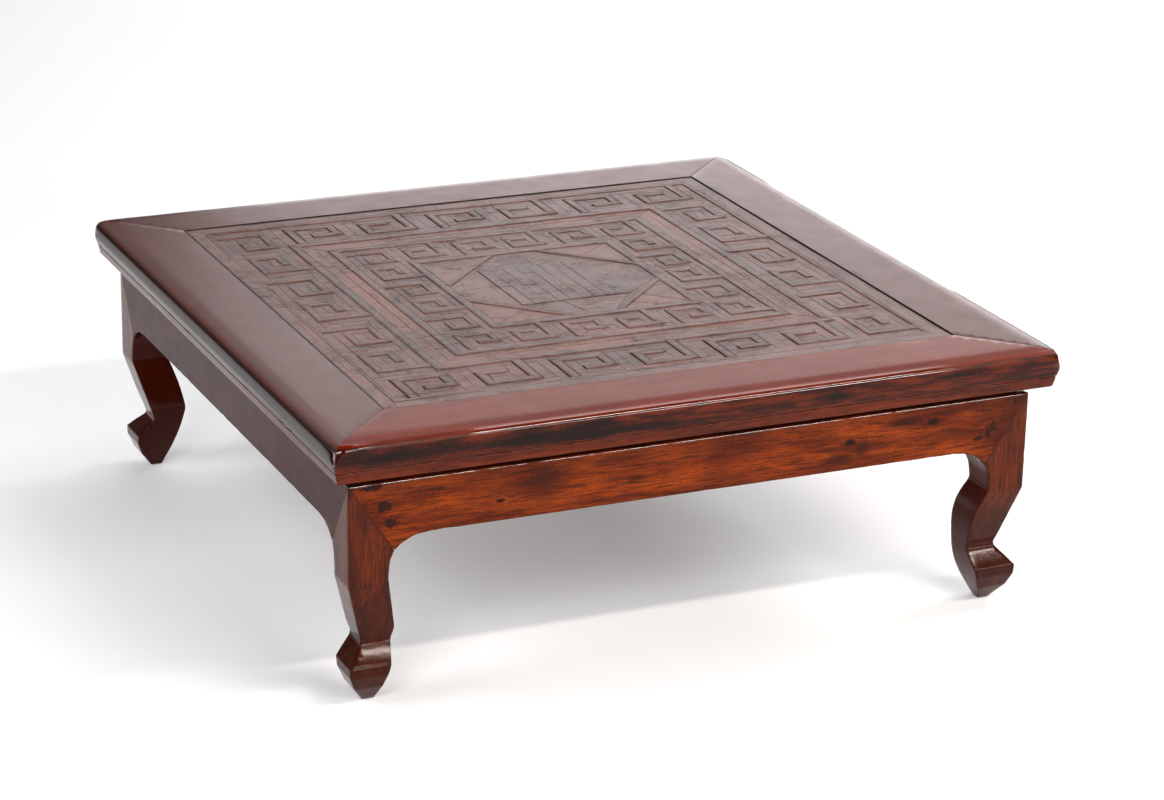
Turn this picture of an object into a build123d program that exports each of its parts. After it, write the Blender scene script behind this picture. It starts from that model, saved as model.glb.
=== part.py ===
from build123d import *
from math import cos, radians, sin, sqrt
import os

# A low square kang table: a mitred frame with a floating panel and two braces,
# four legs cut from square posts, four aprons and a recessed waist between them,
# and a fret parquetry laid on the panel. Millimetres, +Z up, the origin on the
# floor under the middle of the table. Front is -Y, left is -X.

# Driving dimensions
table_width = 850.0            # along X, across the widest part of the frame's edge
table_depth = 850.0            # along Y
table_height = 305.0           # floor to the top face of the frame

# Frame
frame_member_width = 88.0      # edge of the table to the opening for the panel
frame_thickness = 45.0
frame_corner_round = 7.0       # the table's corners, seen from above
crown_width = 24.0             # the top face falls gently over this width, from here to the arris
crown_drop = 3.0
upper_band_height = 31.4       # the upper, swelling band of the edge moulding
widest_point_drop = 9.0        # from the top face down to the widest point of the edge
top_round_width = 4.4          # how far the rounded top arris runs in
upper_band_fullness = 0.3      # how far the band has tapered at its middle
upper_band_taper = 4.0         # from the widest point in to the foot of the upper band
quirk_width = 1.2              # the scratched line between the two bands
quirk_depth = 1.4
lower_band_setback = 0.3       # the lower band starts this far behind the upper one's foot
lower_band_taper = 2.6         # the lower band leans in by this much
lower_arris_round = 1.6
frame_tenon_thickness = 12.0   # mitre joints: tenons on the front and back members
frame_tenon_width = 26.0
frame_tenon_inset = 32.0       # from the outer edge to the near side of the tenon
frame_tenon_drop = 15.0        # from the top face to the top of the tenon
frame_tenon_stop = 14.0        # wood left past the end of the blind tenon
joint_clearance = 0.15

# Floating panel
panel_board_count = 5
panel_board_thickness = 12.0
panel_tongue_thickness = 6.0
panel_tongue_length = 9.0
panel_gap = 0.9                # shrinkage gap between the panel and the frame
board_joint_thickness = 4.0    # tongue and groove between the boards
board_joint_rise = 7.5         # from the boards' underside to the middle of the joint
board_joint_length = 6.0

# Braces under the panel, running front to back
brace_width = 26.0
brace_spacing = 330.0
brace_dovetail_height = 4.0
brace_dovetail_flare = 2.5     # each side, neck to top
brace_tenon_width = 16.0
brace_tenon_height = 12.0
brace_tenon_length = 14.0

# Waist, aprons and legs, all set in from the frame's widest edge
apron_inset = 25.0             # to the outer faces of the aprons and of the legs' tops
waist_inset = 35.0
waist_height = 9.5
waist_thickness = 14.0
waist_tongue_thickness = 5.0
waist_tongue_length = 4.0
waist_tongue_inset = 2.0       # from the waist's face to its tongue
apron_height = 61.5
apron_thickness = 22.0
apron_facing = 8.0             # the mitred front layer that laps over the leg
apron_arris_round = 3.0
apron_tenon_thickness = 8.0
apron_tenon_height = 38.0
apron_tenon_length = 22.0
apron_tenon_drop = 14.0        # from the apron's top to the tenon
bracket_reach = 41.0           # the curved ends of the apron's lower edge, along it
bracket_mid_reach = 23.0
bracket_low_reach = 9.0
bracket_drop = 16.5            # how far the curved ends come down
bracket_low_drop = 8.2
bracket_mid_drop = 1.8
bracket_round = 30.0

# Leg, as distances from the frame's widest edge, the same on both faces of the post
post_size = 58.0
leg_knee_drop = 51.0           # below the apron's lower edge, where the outside turns in
leg_ankle_inset = 21.0         # from the straight outer face in to the hollow of the ankle
leg_ankle_height = 65.5
leg_toe_inset = 2.4
leg_toe_height = 44.0
leg_nose_inset = 2.6           # the blunt end of the toe
leg_nose_height = 34.0
leg_sole_inset = 9.0
leg_sole_height = 18.5
leg_foot_inset = 22.5
leg_foot_width = 14.0          # the small flat that stands on the floor
leg_calf_cut = 0.5             # the inside swells to almost the full post above the foot
leg_calf_height = 79.0
leg_waist_cut = 13.8           # the deepest cut into the post's inside, under the apron
leg_waist_drop = 47.0          # below the apron's lower edge
leg_shoulder_cut = 12.2        # the inside's curve out to the foot of the mitre
leg_shoulder_drop = 29.0
seam_foot_cut = 7.0            # the mitre with the apron ends this far outside the inner face
knee_round = 22.0
ankle_round = 8.5
toe_round = 3.0
nose_round = 8.0
sole_round = 14.0
calf_round = 22.0
leg_waist_round = 26.0
shoulder_round = 30.0
stub_size = 42.0               # the post's reduced top, behind the waist
leg_tenon_size = 13.0
leg_tenon_length = 12.0
leg_tenon_near = 11.0          # from the stub's outer corner to the two tenons' middles
leg_tenon_far = 31.0

# Pins
frame_pin_radius = 3.0
frame_pin_inset = 31.0         # from the side edge of the table
frame_pin_height = 29.0
apron_pin_radius = 2.5
apron_pin_length = 52.0
apron_pin_inset = 11.0         # from the inner face of the leg, into the apron's tenon
apron_pin_spread = 6.0         # the two pins of a leg cross one above the other
pin_clearance = 0.05

# Parquetry on the panel, from the frame inwards
inlay_thickness = 4.0
inlay_recess = 0.8             # the tops of the raised strips, below the frame's top
ground_recess = 0.7            # the ground pieces, below the raised strips
inlay_gap = 0.3
diagonal_width = 8.0
slat_count = 9
fret_rows = 7                  # cells across a fret band, one cell to a strip
key_columns = 7                # cells along the band for one key
corner_cut_share = 0.69        # how much of the centre square's half each cut corner takes
slat_field_share = 0.57        # how much of the centre square the slats take

# The pattern is laid out in strips of one width, which fill the panel from its edge to its middle.
# These are numbers of strips.
border_strips = 1.9
outer_fret_strips = 6.0
line_strips = 1.0
plain_band_strips = 2.0
inner_fret_strips = 5.0
centre_half_strips = 9.7
outer_key_strips = 7.6         # from one key to the next, as near as the side's length allows
inner_key_strips = 5.3

# Levels
frame_underside = table_height - frame_thickness
apron_top = frame_underside - waist_height
apron_bottom = apron_top - apron_height
inlay_top = table_height - inlay_recess
ground_top = inlay_top - ground_recess
board_top = inlay_top - inlay_thickness
board_bottom = board_top - panel_board_thickness

# The opening that the frame leaves, as half sizes
opening_x = table_width / 2 - frame_member_width
opening_y = table_depth / 2 - frame_member_width
post_inner = apron_inset + post_size
stub_inner = waist_inset + stub_size


class Side:
    """One side of the table, seen from outside: its length, its distance and its planes."""

    def __init__(self, name, turn, length, span):
        self.name = name
        self.length = length
        self.span = span
        self.along = Vector(cos(radians(turn)), sin(radians(turn)), 0)
        self.outward = Vector(sin(radians(turn)), -cos(radians(turn)), 0)

    def plan(self, height):
        """Local x runs along the side and local y towards the back of the table."""
        return Plane(origin=(0, 0, height), x_dir=self.along, z_dir=(0, 0, 1))

    def section(self):
        """Local x runs in from the table's edge and local y is the height."""
        return Plane(origin=self.outward * (self.span / 2), x_dir=-self.outward, z_dir=self.along)

    def elevation(self, inset):
        """Local x runs along the side and local y is the height, seen from outside."""
        origin = self.outward * (self.span / 2 - inset)
        return Plane(origin=origin, x_dir=self.along, z_dir=self.outward)


front = Side("front", 0, table_width, table_depth)
right = Side("right", 90, table_depth, table_width)
back = Side("back", 180, table_width, table_depth)
left = Side("left", 270, table_depth, table_width)
sides = (front, right, back, left)

corners = {
    "front_left": (-1, -1),
    "front_right": (1, -1),
    "back_right": (1, 1),
    "back_left": (-1, 1),
}

os.makedirs("parts", exist_ok=True)


def write(part, name):
    part.label = name
    export_step(part, f"parts/{name}.step")


def block(low, high, mode=Mode.ADD):
    """A box between two opposite corners, added to or cut from the open part."""
    size = Vector(*high) - Vector(*low)
    middle = (Vector(*high) + Vector(*low)) * 0.5
    with Locations(middle):
        Box(size.X, size.Y, size.Z, mode=mode)


# ---- Frame -------------------------------------------------------------------

groove_bottom = board_bottom
groove_top = board_bottom + panel_tongue_thickness + joint_clearance
groove_depth = panel_tongue_length + joint_clearance
tenon_top = table_height - frame_tenon_drop
tenon_bottom = tenon_top - frame_tenon_thickness
waist_groove_near = waist_inset + waist_tongue_inset - joint_clearance
waist_groove_far = waist_inset + waist_tongue_inset + waist_tongue_thickness + joint_clearance
brace_tenon_top = board_bottom - (board_bottom - frame_underside - brace_tenon_height) / 2


def frame_section(side):
    """The member's cross-section: two moulded bands outside, the panel's groove inside."""
    widest = table_height - widest_point_drop
    band_foot = table_height - upper_band_height
    lower_top = band_foot - quirk_width
    arris_top = (top_round_width, table_height - crown_drop)
    with BuildSketch(side.section()) as section:
        with BuildLine():
            Line((frame_member_width, table_height), (crown_width, table_height))
            TangentArc((crown_width, table_height), arris_top, tangent=(-1, 0))
            TangentArc((0, widest), arris_top, tangent=(0, 1))
            ThreePointArc(
                (0, widest),
                (upper_band_taper * upper_band_fullness, (widest + band_foot) / 2),
                (upper_band_taper, band_foot),
            )
            Polyline(
                (upper_band_taper, band_foot),
                (upper_band_taper + quirk_depth, band_foot - quirk_width / 2),
                (upper_band_taper + lower_band_setback, lower_top),
                (upper_band_taper + lower_band_taper, frame_underside + lower_arris_round),
                (upper_band_taper + lower_band_taper + lower_arris_round, frame_underside),
                (frame_member_width, frame_underside),
                (frame_member_width, groove_bottom),
                (frame_member_width - groove_depth, groove_bottom),
                (frame_member_width - groove_depth, groove_top),
                (frame_member_width, groove_top),
                (frame_member_width, table_height),
            )
        make_face()
    return section.sketch


def corner_tenon(side, end, clearance, mode):
    """The blind tenon at one end of a front or back member, or the room that it needs."""
    half = side.length / 2
    near = half - frame_member_width + clearance
    far = half - frame_tenon_stop + clearance
    with BuildSketch(side.plan(tenon_bottom - clearance)) as outline:
        with Locations((end * (near + far) / 2, frame_tenon_inset + frame_tenon_width / 2 - side.span / 2)):
            Rectangle(far - near, frame_tenon_width + 2 * clearance)
    extrude(outline.sketch, amount=frame_tenon_thickness + 2 * clearance, mode=mode)


def cut_leg_mortises(side):
    """Mortises for the leg tenon that enters this member near each of its ends."""
    along = waist_inset + leg_tenon_far
    inward = waist_inset + leg_tenon_near
    size = leg_tenon_size + 2 * joint_clearance
    with BuildSketch(side.plan(frame_underside)) as mortises:
        for end in (-1, 1):
            with Locations((end * (side.length / 2 - along), inward - side.span / 2)):
                Rectangle(size, size)
    extrude(mortises.sketch, amount=leg_tenon_length + joint_clearance, mode=Mode.SUBTRACT)


def cut_waist_groove(side):
    """The groove in the underside that takes the waist's upper tongue."""
    with BuildSketch(side.plan(frame_underside)) as groove:
        middle = (waist_groove_near + waist_groove_far) / 2
        with Locations((0, middle - side.span / 2)):
            Rectangle(side.length - 2 * stub_inner, waist_groove_far - waist_groove_near)
    extrude(groove.sketch, amount=waist_tongue_length + joint_clearance, mode=Mode.SUBTRACT)


def frame_member(side):
    with BuildPart() as member:
        extrude(frame_section(side), amount=side.length / 2, both=True)
        with BuildSketch(side.plan(frame_underside)):
            with BuildLine():
                Polyline(
                    (-side.length / 2, -side.span / 2),
                    (side.length / 2, -side.span / 2),
                    (side.length / 2 - frame_member_width, frame_member_width - side.span / 2),
                    (frame_member_width - side.length / 2, frame_member_width - side.span / 2),
                    close=True,
                )
            make_face()
        extrude(amount=frame_thickness, mode=Mode.INTERSECT)
        with BuildSketch(side.plan(frame_underside)):
            RectangleRounded(side.length, side.span, frame_corner_round)
        extrude(amount=frame_thickness, mode=Mode.INTERSECT)
        cut_leg_mortises(side)
        cut_waist_groove(side)
        if side in (front, back):
            for end in (-1, 1):
                corner_tenon(side, end, 0, Mode.ADD)
            for x in (-brace_spacing / 2, brace_spacing / 2):
                y = side.outward.Y * (opening_y + brace_tenon_length / 2)
                with Locations((x, y, brace_tenon_top - brace_tenon_height / 2)):
                    Box(
                        brace_tenon_width + 2 * joint_clearance,
                        brace_tenon_length + 2 * joint_clearance,
                        brace_tenon_height + 2 * joint_clearance,
                        mode=Mode.SUBTRACT,
                    )
        else:
            for crossing in (front, back):
                for end in (-1, 1):
                    corner_tenon(crossing, end, joint_clearance, Mode.SUBTRACT)
        for across in (-1, 1):
            for forward in (-1, 1):
                with Locations(frame_pin_place(across, forward)):
                    Cylinder(
                        frame_pin_radius + pin_clearance,
                        frame_pin_height + pin_clearance,
                        align=(Align.CENTER, Align.CENTER, Align.MIN),
                        mode=Mode.SUBTRACT,
                    )
    return member.part


def frame_pin_place(across, forward):
    """The foot of the pin that locks one corner tenon from below."""
    x = across * (table_width / 2 - frame_pin_inset)
    y = forward * (table_depth / 2 - frame_tenon_inset - frame_tenon_width / 2)
    return (x, y, frame_underside)


for side in sides:
    write(frame_member(side), f"top_frame_{side.name}")

with BuildPart() as frame_pins:
    for across in (-1, 1):
        for forward in (-1, 1):
            with Locations(frame_pin_place(across, forward)):
                Cylinder(
                    frame_pin_radius,
                    frame_pin_height,
                    align=(Align.CENTER, Align.CENTER, Align.MIN),
                )
write(frame_pins.part, "frame_joint_pins")


# ---- Panel boards and braces ---------------------------------------------------

panel_half_x = opening_x - panel_gap
panel_half_y = opening_y - panel_gap
tongue_half_x = opening_x + panel_tongue_length
tongue_half_y = opening_y + panel_tongue_length
board_width = 2 * panel_half_y / panel_board_count
joint_middle = board_bottom + board_joint_rise


def brace_dovetail(x, clearance):
    """The dovetail on top of a brace, seen from the front."""
    neck = brace_width / 2 - brace_dovetail_flare + clearance
    with BuildSketch(Plane(origin=(x, 0, 0), x_dir=(1, 0, 0), z_dir=(0, -1, 0))) as dovetail:
        with BuildLine():
            Polyline(
                (-neck, board_bottom),
                (neck, board_bottom),
                (neck + brace_dovetail_flare, board_bottom + brace_dovetail_height + clearance),
                (-neck - brace_dovetail_flare, board_bottom + brace_dovetail_height + clearance),
                close=True,
            )
        make_face()
    return dovetail.sketch


def panel_board(index):
    """One board of the panel: it runs left to right, and number 0 is at the front."""
    first = index == 0
    last = index == panel_board_count - 1
    low_y = -panel_half_y + index * board_width
    high_y = low_y + board_width
    tongue_low_y = -tongue_half_y if first else low_y
    tongue_high_y = tongue_half_y if last else high_y
    tongue_z = board_bottom + panel_tongue_thickness
    groove_half = board_joint_thickness / 2 + joint_clearance
    with BuildPart() as board:
        block((-panel_half_x, low_y, board_bottom), (panel_half_x, high_y, board_top))
        block((-tongue_half_x, tongue_low_y, board_bottom), (tongue_half_x, tongue_high_y, tongue_z))
        if not last:
            block(
                (-panel_half_x, high_y, joint_middle - board_joint_thickness / 2),
                (panel_half_x, high_y + board_joint_length, joint_middle + board_joint_thickness / 2),
            )
        if not first:
            block(
                (-tongue_half_x, low_y, joint_middle - groove_half),
                (tongue_half_x, low_y + board_joint_length + joint_clearance, joint_middle + groove_half),
                mode=Mode.SUBTRACT,
            )
        for x in (-brace_spacing / 2, brace_spacing / 2):
            extrude(brace_dovetail(x, joint_clearance), amount=tongue_half_y, both=True, mode=Mode.SUBTRACT)
    return board.part


for index in range(panel_board_count):
    write(panel_board(index), f"panel_board_{index + 1}")


def panel_brace(x):
    tenon_half_y = opening_y + brace_tenon_length
    with BuildPart() as brace:
        block(
            (x - brace_width / 2, -opening_y, frame_underside),
            (x + brace_width / 2, opening_y, board_bottom),
        )
        extrude(brace_dovetail(x, 0), amount=panel_half_y, both=True)
        block(
            (x - brace_tenon_width / 2, -tenon_half_y, brace_tenon_top - brace_tenon_height),
            (x + brace_tenon_width / 2, tenon_half_y, brace_tenon_top),
        )
    return brace.part


write(panel_brace(-brace_spacing / 2), "panel_brace_left")
write(panel_brace(brace_spacing / 2), "panel_brace_right")


# ---- Waist ---------------------------------------------------------------------

def waist_strip(side):
    """A strip between the legs' stubs, with a tongue up into the frame and one down into the apron."""
    tongue_middle = waist_inset + waist_tongue_inset + waist_tongue_thickness / 2
    with BuildPart() as strip:
        with BuildSketch(side.section()):
            with Locations((waist_inset + waist_thickness / 2, apron_top + waist_height / 2)):
                Rectangle(waist_thickness, waist_height)
            with Locations((tongue_middle, frame_underside + waist_tongue_length / 2)):
                Rectangle(waist_tongue_thickness, waist_tongue_length)
        extrude(amount=side.length / 2 - stub_inner, both=True)
        with BuildSketch(side.section()):
            with Locations((tongue_middle, apron_top - waist_tongue_length / 2)):
                Rectangle(waist_tongue_thickness, waist_tongue_length)
        extrude(amount=side.length / 2 - post_inner, both=True)
    return strip.part


for side in sides:
    write(waist_strip(side), f"waist_{side.name}")


# ---- Aprons --------------------------------------------------------------------

seam_foot = post_inner - seam_foot_cut      # where the mitre meets the leg's inner curve
bracket_foot = apron_bottom - bracket_drop
bracket_rise = (bracket_drop - bracket_low_drop) / bracket_low_reach   # how steeply it leaves the mitre


def apron_face(side):
    """The whole front face: mitred to both legs, with a curved bracket at each end."""
    half = side.length / 2
    top_end = half - apron_inset
    seam_end = half - seam_foot
    with BuildSketch(side.elevation(apron_inset)) as face:
        with BuildLine():
            Polyline(
                (-seam_end, bracket_foot),
                (-top_end, apron_top),
                (top_end, apron_top),
                (seam_end, bracket_foot),
            )
            FilletPolyline(
                (seam_end, bracket_foot),
                (seam_end - bracket_low_reach, apron_bottom - bracket_low_drop),
                (seam_end - bracket_mid_reach, apron_bottom - bracket_mid_drop),
                (seam_end - bracket_reach, apron_bottom),
                radius=bracket_round,
            )
            Line((seam_end - bracket_reach, apron_bottom), (bracket_reach - seam_end, apron_bottom))
            FilletPolyline(
                (bracket_reach - seam_end, apron_bottom),
                (bracket_mid_reach - seam_end, apron_bottom - bracket_mid_drop),
                (bracket_low_reach - seam_end, apron_bottom - bracket_low_drop),
                (-seam_end, bracket_foot),
                radius=bracket_round,
            )
        make_face()
    return face.sketch


def apron(side):
    half = side.length / 2
    shoulder = half - post_inner
    tenon_top_z = apron_top - apron_tenon_drop
    tenon_middle = apron_inset + apron_facing + apron_tenon_thickness / 2
    groove_middle = (waist_groove_near + waist_groove_far) / 2
    with BuildPart() as board:
        extrude(apron_face(side), amount=-apron_thickness)
        with BuildSketch(side.plan(bracket_foot)):
            with BuildLine():
                Polyline(
                    (apron_inset - half, apron_inset - side.span / 2),
                    (half - apron_inset, apron_inset - side.span / 2),
                    (half - apron_inset - apron_thickness, apron_inset + apron_thickness - side.span / 2),
                    (apron_inset + apron_thickness - half, apron_inset + apron_thickness - side.span / 2),
                    close=True,
                )
            make_face()
        extrude(amount=apron_top - bracket_foot, mode=Mode.INTERSECT)
        round_edges = board.edges().filter_by(Axis((0, 0, 0), side.along)).group_by(Axis.Z)[-1]
        outer_edge = round_edges.sort_by(Axis((0, 0, 0), side.outward))[-1]
        fillet(outer_edge, apron_arris_round)
        # Behind the facing the board stops at the post, and its tenons go on into it.
        with BuildSketch(side.elevation(apron_inset + apron_facing)):
            for end in (-1, 1):
                with Locations((end * (shoulder + half) / 2, apron_top - apron_height / 2)):
                    Rectangle(half - shoulder, 2 * apron_height)
        extrude(amount=apron_facing - apron_thickness, mode=Mode.SUBTRACT)
        with BuildSketch(side.plan(tenon_top_z)):
            with Locations((0, tenon_middle - side.span / 2)):
                Rectangle(2 * (shoulder + apron_tenon_length), apron_tenon_thickness)
        extrude(amount=-apron_tenon_height)
        with BuildSketch(side.plan(apron_top)):
            with Locations((0, groove_middle - side.span / 2)):
                Rectangle(2 * shoulder, waist_groove_far - waist_groove_near)
        extrude(amount=-waist_tongue_length - joint_clearance, mode=Mode.SUBTRACT)
        for place, direction in apron_pin_places(side):
            with Locations(Plane(origin=place, z_dir=direction)):
                Cylinder(
                    apron_pin_radius + pin_clearance,
                    apron_pin_length + pin_clearance,
                    align=(Align.CENTER, Align.CENTER, Align.MIN),
                    mode=Mode.SUBTRACT,
                )
    return board.part


def apron_pin_places(side):
    """Each pin starts on the leg's inner face and runs out through the apron's tenon."""
    tenon_middle_z = apron_top - apron_tenon_drop - apron_tenon_height / 2
    lift = apron_pin_spread if side in (front, back) else -apron_pin_spread
    along = side.length / 2 - post_inner + apron_pin_inset
    inner_face = side.outward * (side.span / 2 - post_inner)
    rise = Vector(0, 0, tenon_middle_z + lift)
    return [(inner_face + side.along * (end * along) + rise, side.outward) for end in (-1, 1)]


for side in sides:
    write(apron(side), f"apron_{side.name}")

with BuildPart() as apron_pins:
    for side in sides:
        for place, direction in apron_pin_places(side):
            with Locations(Plane(origin=place, z_dir=direction)):
                Cylinder(apron_pin_radius, apron_pin_length, align=(Align.CENTER, Align.CENTER, Align.MIN))
write(apron_pins.part, "apron_joint_pins")


# ---- Legs ----------------------------------------------------------------------

from_front = Plane(origin=(0, 0, 0), x_dir=(1, 0, 0), z_dir=(0, -1, 0))
from_right = Plane(origin=(0, 0, 0), x_dir=(0, 1, 0), z_dir=(1, 0, 0))


def leg_profile(plane, half, toward):
    """The post's sawn outline, with its outer face on the side that toward points to."""

    def at(inset, height):
        return (toward * (half - apron_inset - inset), height)

    with BuildSketch(plane) as profile:
        with BuildLine():
            Line(at(0, apron_top), at(0, apron_bottom))
            FilletPolyline(
                at(0, apron_bottom),
                at(0, apron_bottom - leg_knee_drop),
                at(leg_ankle_inset, leg_ankle_height),
                at(leg_toe_inset, leg_toe_height),
                at(leg_nose_inset, leg_nose_height),
                at(leg_sole_inset, leg_sole_height),
                at(leg_foot_inset, 0),
                radius=[knee_round, ankle_round, toe_round, nose_round, sole_round],
            )
            Line(at(leg_foot_inset, 0), at(leg_foot_inset + leg_foot_width, 0))
            FilletPolyline(
                at(leg_foot_inset + leg_foot_width, 0),
                at(post_size - leg_calf_cut, leg_calf_height),
                at(post_size - leg_waist_cut, apron_bottom - leg_waist_drop),
                at(post_size - leg_shoulder_cut, apron_bottom - leg_shoulder_drop),
                at(seam_foot - apron_inset, bracket_foot),
                radius=[calf_round, leg_waist_round, shoulder_round],
            )
            Polyline(
                at(seam_foot - apron_inset, bracket_foot),
                at(post_size, bracket_foot + seam_foot_cut * bracket_rise),
                at(post_size, apron_top),
                at(0, apron_top),
            )
        make_face()
    return profile.sketch


def cut_facing_seat(side, end):
    """Room on the leg's face for the apron's mitred facing."""
    half = side.length / 2
    with BuildSketch(side.elevation(apron_inset)) as seat:
        with BuildLine():
            Polyline(
                (end * (half - apron_inset), apron_top),
                (end * (half - seam_foot), bracket_foot),
                (end * (half - post_inner), bracket_foot),
                (end * (half - post_inner), apron_top),
                close=True,
            )
        make_face()
    extrude(seat.sketch, amount=-apron_facing, mode=Mode.SUBTRACT)


def cut_apron_mortise(side, end):
    half = side.length / 2
    near = half - post_inner
    length = apron_tenon_length + joint_clearance
    middle = apron_inset + apron_facing + apron_tenon_thickness / 2
    with BuildSketch(side.plan(apron_top - apron_tenon_drop + joint_clearance)) as mortise:
        with Locations((end * (near + length / 2), middle - side.span / 2)):
            Rectangle(length, apron_tenon_thickness + 2 * joint_clearance)
    extrude(mortise.sketch, amount=-apron_tenon_height - 2 * joint_clearance, mode=Mode.SUBTRACT)


def leg(across, forward):
    """The post, sawn to the same outline on both faces, so the two outlines cross."""
    facing = front if forward < 0 else back
    flank = left if across < 0 else right
    facing_end = across if facing is front else -across
    flank_end = forward if flank is right else -forward
    corner_x = across * (table_width / 2 - waist_inset)
    corner_y = forward * (table_depth / 2 - waist_inset)
    with BuildPart() as post:
        extrude(leg_profile(from_front, table_width / 2, across), amount=-forward * table_depth / 2)
        extrude(
            leg_profile(from_right, table_depth / 2, forward),
            amount=across * table_width / 2,
            mode=Mode.INTERSECT,
        )
        cut_facing_seat(facing, facing_end)
        cut_facing_seat(flank, flank_end)
        cut_apron_mortise(facing, facing_end)
        cut_apron_mortise(flank, flank_end)
        block_ends(
            (corner_x, corner_y, apron_top),
            (corner_x - across * stub_size, corner_y - forward * stub_size, frame_underside),
        )
        for step_x, step_y in ((leg_tenon_far, leg_tenon_near), (leg_tenon_near, leg_tenon_far)):
            x = corner_x - across * step_x
            y = corner_y - forward * step_y
            with Locations((x, y, frame_underside)):
                Box(
                    leg_tenon_size,
                    leg_tenon_size,
                    leg_tenon_length,
                    align=(Align.CENTER, Align.CENTER, Align.MIN),
                )
        for side, end in ((facing, facing_end), (flank, flank_end)):
            place, direction = apron_pin_places(side)[0 if end < 0 else 1]
            with Locations(Plane(origin=place, z_dir=direction)):
                Cylinder(
                    apron_pin_radius + pin_clearance,
                    apron_pin_length + pin_clearance,
                    align=(Align.CENTER, Align.CENTER, Align.MIN),
                    mode=Mode.SUBTRACT,
                )
    return post.part


def block_ends(one, other):
    """A box between any two opposite corners."""
    low = tuple(min(a, b) for a, b in zip(one, other))
    high = tuple(max(a, b) for a, b in zip(one, other))
    block(low, high)


for name, (across, forward) in corners.items():
    write(leg(across, forward), f"leg_{name}")


# ---- Parquetry -----------------------------------------------------------------

class Ring:
    """A rectangular band of the parquetry: its outer half sizes and its width."""

    def __init__(self, half_x, half_y, width):
        self.half_x = half_x
        self.half_y = half_y
        self.width = width

    def inside(self, width):
        """The next band, which lies against this one's inner edge."""
        return Ring(self.half_x - self.width, self.half_y - self.width, width)

    def half_length(self, side):
        return self.half_x if side in (front, back) else self.half_y

    def half_span(self, side):
        return self.half_y if side in (front, back) else self.half_x


fret_strips = outer_fret_strips + inner_fret_strips
strips_across = border_strips + fret_strips + 3 * line_strips + plain_band_strips + centre_half_strips
strip_width = min(panel_half_x, panel_half_y) / strips_across

border = Ring(panel_half_x, panel_half_y, border_strips * strip_width)
outer_fret = border.inside(outer_fret_strips * strip_width)
outer_line = outer_fret.inside(line_strips * strip_width)
plain_band = outer_line.inside(plain_band_strips * strip_width)
middle_line = plain_band.inside(line_strips * strip_width)
inner_fret = middle_line.inside(inner_fret_strips * strip_width)
inner_line = inner_fret.inside(line_strips * strip_width)
centre = inner_line.inside(0)


def ring_strip(ring, side):
    """One mitred strip of a ring, as a sketch on the panel boards."""
    half_length = ring.half_length(side)
    half_span = ring.half_span(side)
    with BuildSketch(side.plan(board_top)) as strip:
        with BuildLine():
            Polyline(
                (-half_length, -half_span),
                (half_length, -half_span),
                (half_length - ring.width, ring.width - half_span),
                (ring.width - half_length, ring.width - half_span),
                close=True,
            )
        make_face()
        offset(amount=-inlay_gap / 2, kind=Kind.INTERSECTION, mode=Mode.REPLACE)
    return strip.sketch


def write_ring(ring, top, name):
    """The four strips of a ring, in one node."""
    with BuildPart() as strips:
        for side in sides:
            extrude(ring_strip(ring, side), amount=top - board_top)
    write(strips.part, name)


for side in sides:
    with BuildPart() as border_strip:
        extrude(ring_strip(border, side), amount=inlay_top - board_top)
    write(border_strip.part, f"inlay_border_{side.name}")
write_ring(outer_line, inlay_top, "outer_fret_line")
write_ring(plain_band, ground_top, "plain_band")
write_ring(middle_line, inlay_top, "middle_fret_line")
write_ring(inner_line, inlay_top, "inner_fret_line")


# One key is a square spiral of four strokes, given by the cells at their ends as
# (column along the band, row from the band's inner edge). Every second key is turned half round.
key_strokes = (((1, 6), (1, 1)), ((1, 1), (5, 1)), ((5, 1), (5, 4)), ((5, 4), (3, 4)))


def key_sketch(ring, side, pitch, spare):
    """All keys along one side of a fret band, each stroke wider by spare on every side."""
    start = -ring.half_length(side)
    run = 2 * ring.half_length(side) - ring.width
    count = max(1, round(run / pitch))
    column = run / count / key_columns
    row = ring.width / fret_rows
    strip = row + 2 * spare
    inner_edge = ring.width - ring.half_span(side)
    with BuildSketch(side.plan(board_top)) as keys:
        for index in range(count):
            for one, other in key_strokes:
                if index % 2:
                    one = (key_columns - 1 - one[0], fret_rows - 1 - one[1])
                    other = (key_columns - 1 - other[0], fret_rows - 1 - other[1])
                x = start + column * (index * key_columns + (one[0] + other[0] + 1) / 2)
                y = inner_edge - row * (one[1] + other[1] + 1) / 2
                with Locations((x, y)):
                    Rectangle(column * abs(one[0] - other[0]) + strip, row * abs(one[1] - other[1]) + strip)
    return keys.sketch


def fret_keys(ring, side, pitch):
    with BuildPart() as keys:
        extrude(key_sketch(ring, side, pitch, -inlay_gap / 2), amount=inlay_top - board_top)
    return keys.part


def fret_ground(ring, side, pitch):
    """The lower wood between the keys. Each side runs over one corner of the band."""
    run = 2 * ring.half_length(side) - ring.width
    with BuildPart() as ground:
        with BuildSketch(side.plan(board_top)):
            with Locations((-ring.width / 2, ring.width / 2 - ring.half_span(side))):
                Rectangle(run - inlay_gap, ring.width - inlay_gap)
        extrude(amount=ground_top - board_top)
        extrude(key_sketch(ring, side, pitch, inlay_gap / 2), amount=inlay_thickness, mode=Mode.SUBTRACT)
    return ground.part


for side in sides:
    write(fret_keys(outer_fret, side, outer_key_strips * strip_width), f"outer_fret_keys_{side.name}")
    write(fret_ground(outer_fret, side, outer_key_strips * strip_width), f"outer_fret_ground_{side.name}")
    write(fret_keys(inner_fret, side, inner_key_strips * strip_width), f"inner_fret_keys_{side.name}")
    write(fret_ground(inner_fret, side, inner_key_strips * strip_width), f"inner_fret_ground_{side.name}")


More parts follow.
